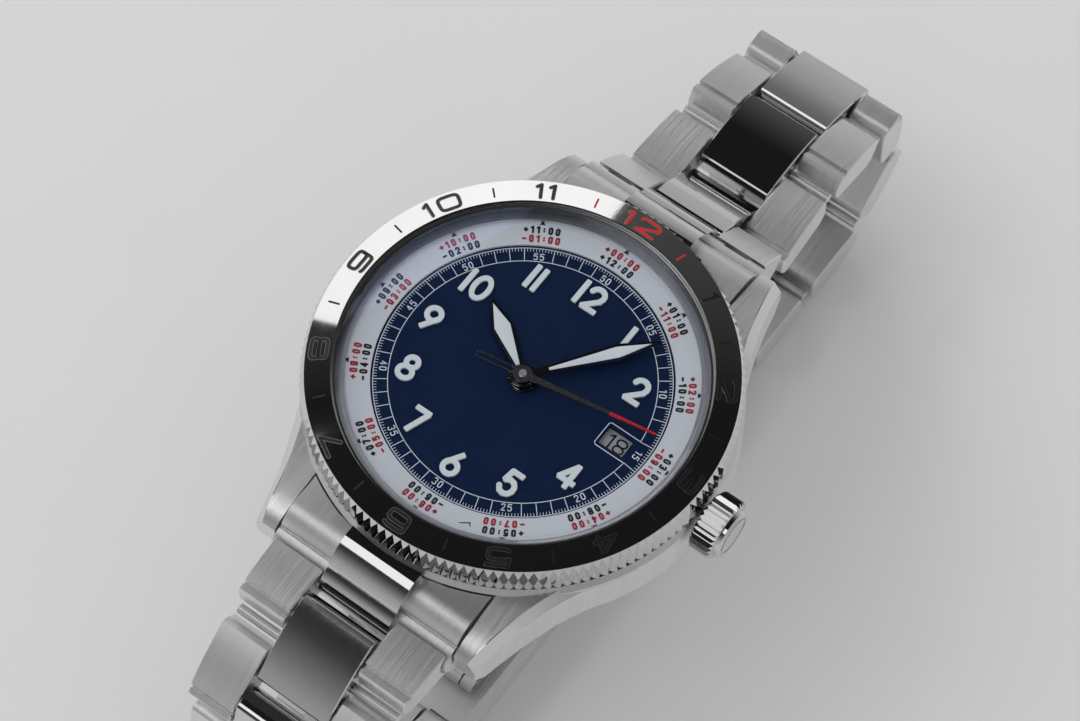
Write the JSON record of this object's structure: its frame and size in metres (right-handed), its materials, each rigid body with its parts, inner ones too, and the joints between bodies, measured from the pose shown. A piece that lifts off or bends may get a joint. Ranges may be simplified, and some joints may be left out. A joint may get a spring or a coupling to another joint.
{
  "type": "world time wristwatch",
  "caption": "Steel wristwatch with a turning toothed bezel, blue dial, white offset ring, date, domed crystal, fluted crown and a three-piece link bracelet with a folding clasp.",
  "frame": {"origin": "centre of the case back's outer face", "axes": "+Z from the case back to the crystal, +Y towards twelve, +X towards the crown at three"},
  "size_m": [0.0437, 0.0943, 0.0383],
  "materials": {
    "steel_brushed": "brushed",
    "steel_polished": "mirror polished",
    "crystal_glass": "clear domed",
    "dial_blue": "matte navy",
    "ring_white": "matte white",
    "lume_white": "matte lume",
    "hand_steel": "polished",
    "seal_rubber": "matte",
    "movement_brass": "satin",
    "movement_steel": "satin",
    "date_grey": "matte"
  },
  "bodies": {
    "head": {"case_middle": "steel_brushed", "case_back": "steel_brushed", "case_back_gasket": "seal_rubber", "crystal": "crystal_glass", "crystal_gasket": "seal_rubber", "offset_ring": "ring_white", "dial": "dial_blue", "hour_numerals": "lume_white", "crown_tube": "movement_steel", "movement_ring": "movement_steel", "main_plate": "movement_brass", "train_bridge": "movement_steel", "bridge_screws": "movement_steel", "rotor_bearing": "movement_steel", "end_link_twelve": "steel_brushed", "end_link_six": "steel_brushed", "spring_bars": "movement_steel", "end_link_pins": "movement_steel"},
    "bezel": {"bezel": "steel_polished"},
    "minute": {"minute_hand": "hand_steel", "cannon_pinion": "movement_steel"},
    "hour": {"hour_hand": "hand_steel", "hour_wheel": "movement_brass"},
    "minute_wheel": {"minute_wheel": "movement_brass"},
    "seconds": {"seconds_hand": "hand_steel", "fourth_wheel": "movement_brass"},
    "third_wheel": {"third_wheel": "movement_brass"},
    "great_wheel": {"great_wheel": "movement_brass"},
    "barrel": {"mainspring_barrel": "movement_brass"},
    "escape_wheel": {"escape_wheel": "movement_steel"},
    "pallet_fork": {"pallet_fork": "movement_steel"},
    "balance": {"balance_wheel": "movement_brass", "hairspring": "movement_steel"},
    "rotor": {"winding_rotor": "movement_brass"},
    "date_disc": {"date_disc": "date_grey"},
    "crown_drive": {"sliding_pinion": "movement_steel"},
    "crown": {"crown": "steel_polished", "winding_stem": "movement_steel", "crown_gasket": "seal_rubber"},
    "row_twelve_1": {"link_row_twelve_1": "steel_brushed"},
    "row_twelve_2": {"link_row_twelve_2": "steel_brushed"},
    "row_twelve_3": {"link_row_twelve_3": "steel_brushed"},
    "row_twelve_4": {"link_row_twelve_4": "steel_brushed"},
    "row_twelve_5": {"link_row_twelve_5": "steel_brushed"},
    "row_twelve_6": {"link_row_twelve_6": "steel_brushed"},
    "row_twelve_7": {"link_row_twelve_7": "steel_brushed"},
    "row_twelve_8": {"link_row_twelve_8": "steel_brushed"},
    "row_six_1": {"link_row_six_1": "steel_brushed"},
    "row_six_2": {"link_row_six_2": "steel_brushed"},
    "row_six_3": {"link_row_six_3": "steel_brushed"},
    "row_six_4": {"link_row_six_4": "steel_brushed"},
    "row_six_5": {"link_row_six_5": "steel_brushed"},
    "clasp_cover": {"clasp_cover": "steel_brushed", "clasp_cover_pin": "movement_steel"},
    "clasp_blade_outer": {"clasp_blade_outer": "steel_brushed", "clasp_blade_pin": "movement_steel"},
    "clasp_blade_inner": {"clasp_blade_inner": "steel_brushed"},
    "clasp_button_crown_side": {"clasp_button_crown_side": "steel_polished"},
    "clasp_button_far_side": {"clasp_button_far_side": "steel_polished"}
  },
  "joints": [
    {"name": "bezel_turn", "type": "hinge", "parent": "head", "child": "bezel", "pos_m": [0, 0, 0.009], "axis": [0, 0, -1], "continuous": true},
    {"name": "minute_turn", "type": "hinge", "parent": "head", "child": "minute", "pos_m": [0, 0, 0.009], "axis": [0, 0, -1], "continuous": true},
    {"name": "hour_turn", "type": "hinge", "parent": "head", "child": "hour", "pos_m": [0, 0, 0.009], "axis": [0, 0, -1], "continuous": true},
    {"name": "minute_wheel_turn", "type": "hinge", "parent": "head", "child": "minute_wheel", "pos_m": [-0.0018, 0.00312, 0.0076], "axis": [0, 0, -1], "continuous": true},
    {"name": "seconds_turn", "type": "hinge", "parent": "head", "child": "seconds", "pos_m": [0, 0, 0.009], "axis": [0, 0, -1], "continuous": true},
    {"name": "third_wheel_turn", "type": "hinge", "parent": "head", "child": "third_wheel", "pos_m": [0.00329, 0.0012, 0.004], "axis": [0, 0, -1], "continuous": true},
    {"name": "great_wheel_turn", "type": "hinge", "parent": "head", "child": "great_wheel", "pos_m": [0.00263, 0.00494, 0.004], "axis": [0, 0, -1], "continuous": true},
    {"name": "barrel_turn", "type": "hinge", "parent": "head", "child": "barrel", "pos_m": [-0.00338, 0.006, 0.004], "axis": [0, 0, -1], "continuous": true},
    {"name": "escape_wheel_turn", "type": "hinge", "parent": "head", "child": "escape_wheel", "pos_m": [0.00178, -0.00307, 0.004], "axis": [0, 0, -1], "continuous": true},
    {"name": "pallet_fork_swing", "type": "hinge", "parent": "head", "child": "pallet_fork", "pos_m": [0.00249, -0.00573, 0.004], "axis": [0, 0, -1], "range_deg": [-8, 8]},
    {"name": "balance_swing", "type": "hinge", "parent": "head", "child": "balance", "pos_m": [0.00143, -0.00864, 0.0046], "axis": [0, 0, -1], "range_deg": [-140, 140]},
    {"name": "rotor_turn", "type": "hinge", "parent": "head", "child": "rotor", "pos_m": [0, 0, 0.002], "axis": [0, 0, -1], "continuous": true},
    {"name": "date_turn", "type": "hinge", "parent": "head", "child": "date_disc", "pos_m": [0, 0, 0.0078], "axis": [0, 0, -1], "continuous": true},
    {"name": "crown_turn", "type": "hinge", "parent": "head", "child": "crown_drive", "pos_m": [0.0105, 0, 0.0053], "axis": [1, 0, 0], "continuous": true},
    {"name": "crown_pull", "type": "slide", "parent": "crown_drive", "child": "crown", "axis": [1, 0, 0], "range_m": [0, 0.001]},
    {"name": "row_twelve_1_bend", "type": "hinge", "parent": "head", "child": "row_twelve_1", "pos_m": [0, 0.0229, 0.0029], "axis": [1, 0, 0], "range_deg": [0, 38]},
    {"name": "row_twelve_2_bend", "type": "hinge", "parent": "row_twelve_1", "child": "row_twelve_2", "pos_m": [0, 0.03094, -0.00338], "axis": [1, 0, 0], "range_deg": [0, 8]},
    {"name": "row_twelve_3_bend", "type": "hinge", "parent": "row_twelve_2", "child": "row_twelve_3", "pos_m": [0, 0.04094, -0.00338], "axis": [1, 0, 0], "range_deg": [0, 24]},
    {"name": "row_twelve_4_bend", "type": "hinge", "parent": "row_twelve_3", "child": "row_twelve_4", "pos_m": [0, 0.05021, -0.00713], "axis": [1, 0, 0], "range_deg": [0, 60]},
    {"name": "row_twelve_5_bend", "type": "hinge", "parent": "row_twelve_4", "child": "row_twelve_5", "pos_m": [0, 0.05195, -0.01697], "axis": [1, 0, 0], "range_deg": [0, 56]},
    {"name": "row_twelve_6_bend", "type": "hinge", "parent": "row_twelve_5", "child": "row_twelve_6", "pos_m": [0, 0.045, -0.02417], "axis": [1, 0, 0], "range_deg": [0, 48]},
    {"name": "row_twelve_7_bend", "type": "hinge", "parent": "row_twelve_6", "child": "row_twelve_7", "pos_m": [0, 0.035, -0.02417], "axis": [1, 0, 0], "range_deg": [0, 5]},
    {"name": "row_twelve_8_bend", "type": "hinge", "parent": "row_twelve_7", "child": "row_twelve_8", "pos_m": [0, 0.025, -0.02417], "axis": [1, 0, 0], "range_deg": [0, 5]},
    {"name": "row_six_1_bend", "type": "hinge", "parent": "head", "child": "row_six_1", "pos_m": [0, -0.0229, 0.0029], "axis": [-1, 0, 0], "range_deg": [0, 20]},
    {"name": "row_six_2_bend", "type": "hinge", "parent": "row_six_1", "child": "row_six_2", "pos_m": [0, -0.0281, 0.0029], "axis": [-1, 0, 0], "range_deg": [0, 36]},
    {"name": "row_six_3_bend", "type": "hinge", "parent": "row_six_2", "child": "row_six_3", "pos_m": [0, -0.03639, -0.00269], "axis": [-1, 0, 0], "range_deg": [0, 48]},
    {"name": "row_six_4_bend", "type": "hinge", "parent": "row_six_3", "child": "row_six_4", "pos_m": [0, -0.03813, -0.01254], "axis": [-1, 0, 0], "range_deg": [0, 48]},
    {"name": "row_six_5_bend", "type": "hinge", "parent": "row_six_4", "child": "row_six_5", "pos_m": [0, -0.03225, -0.02063], "axis": [-1, 0, 0], "range_deg": [0, 35]},
    {"name": "clasp_end_bend", "type": "hinge", "parent": "row_six_5", "child": "clasp_cover", "pos_m": [0, -0.0229, -0.02417], "axis": [-1, 0, 0], "range_deg": [0, 30]},
    {"name": "clasp_open", "type": "hinge", "parent": "clasp_cover", "child": "clasp_blade_outer", "pos_m": [0, 0.01547, -0.02472], "axis": [-1, 0, 0], "range_deg": [0, 30]},
    {"name": "clasp_unfold", "type": "hinge", "parent": "clasp_blade_outer", "child": "clasp_blade_inner", "pos_m": [0, -0.01633, -0.02394], "axis": [1, 0, 0], "range_deg": [0, 30]},
    {"name": "clasp_button_crown_press", "type": "slide", "parent": "clasp_cover", "child": "clasp_button_crown_side", "axis": [-1, 0, 0], "range_m": [0, 0.0004], "stiffness_N_per_m": 800},
    {"name": "clasp_button_far_press", "type": "slide", "parent": "clasp_cover", "child": "clasp_button_far_side", "axis": [1, 0, 0], "range_m": [0, 0.0004], "stiffness_N_per_m": 800}
  ],
  "couplings": [
    {"joint": "hour_turn", "follows": "minute_turn", "ratio": 0.083333},
    {"joint": "minute_wheel_turn", "follows": "minute_turn", "ratio": -0.38462},
    {"joint": "third_wheel_turn", "follows": "seconds_turn", "ratio": -0.2069},
    {"joint": "great_wheel_turn", "follows": "seconds_turn", "ratio": 0.038793},
    {"joint": "barrel_turn", "follows": "seconds_turn", "ratio": -0.0065875},
    {"joint": "escape_wheel_turn", "follows": "seconds_turn", "ratio": -5}
  ]
}
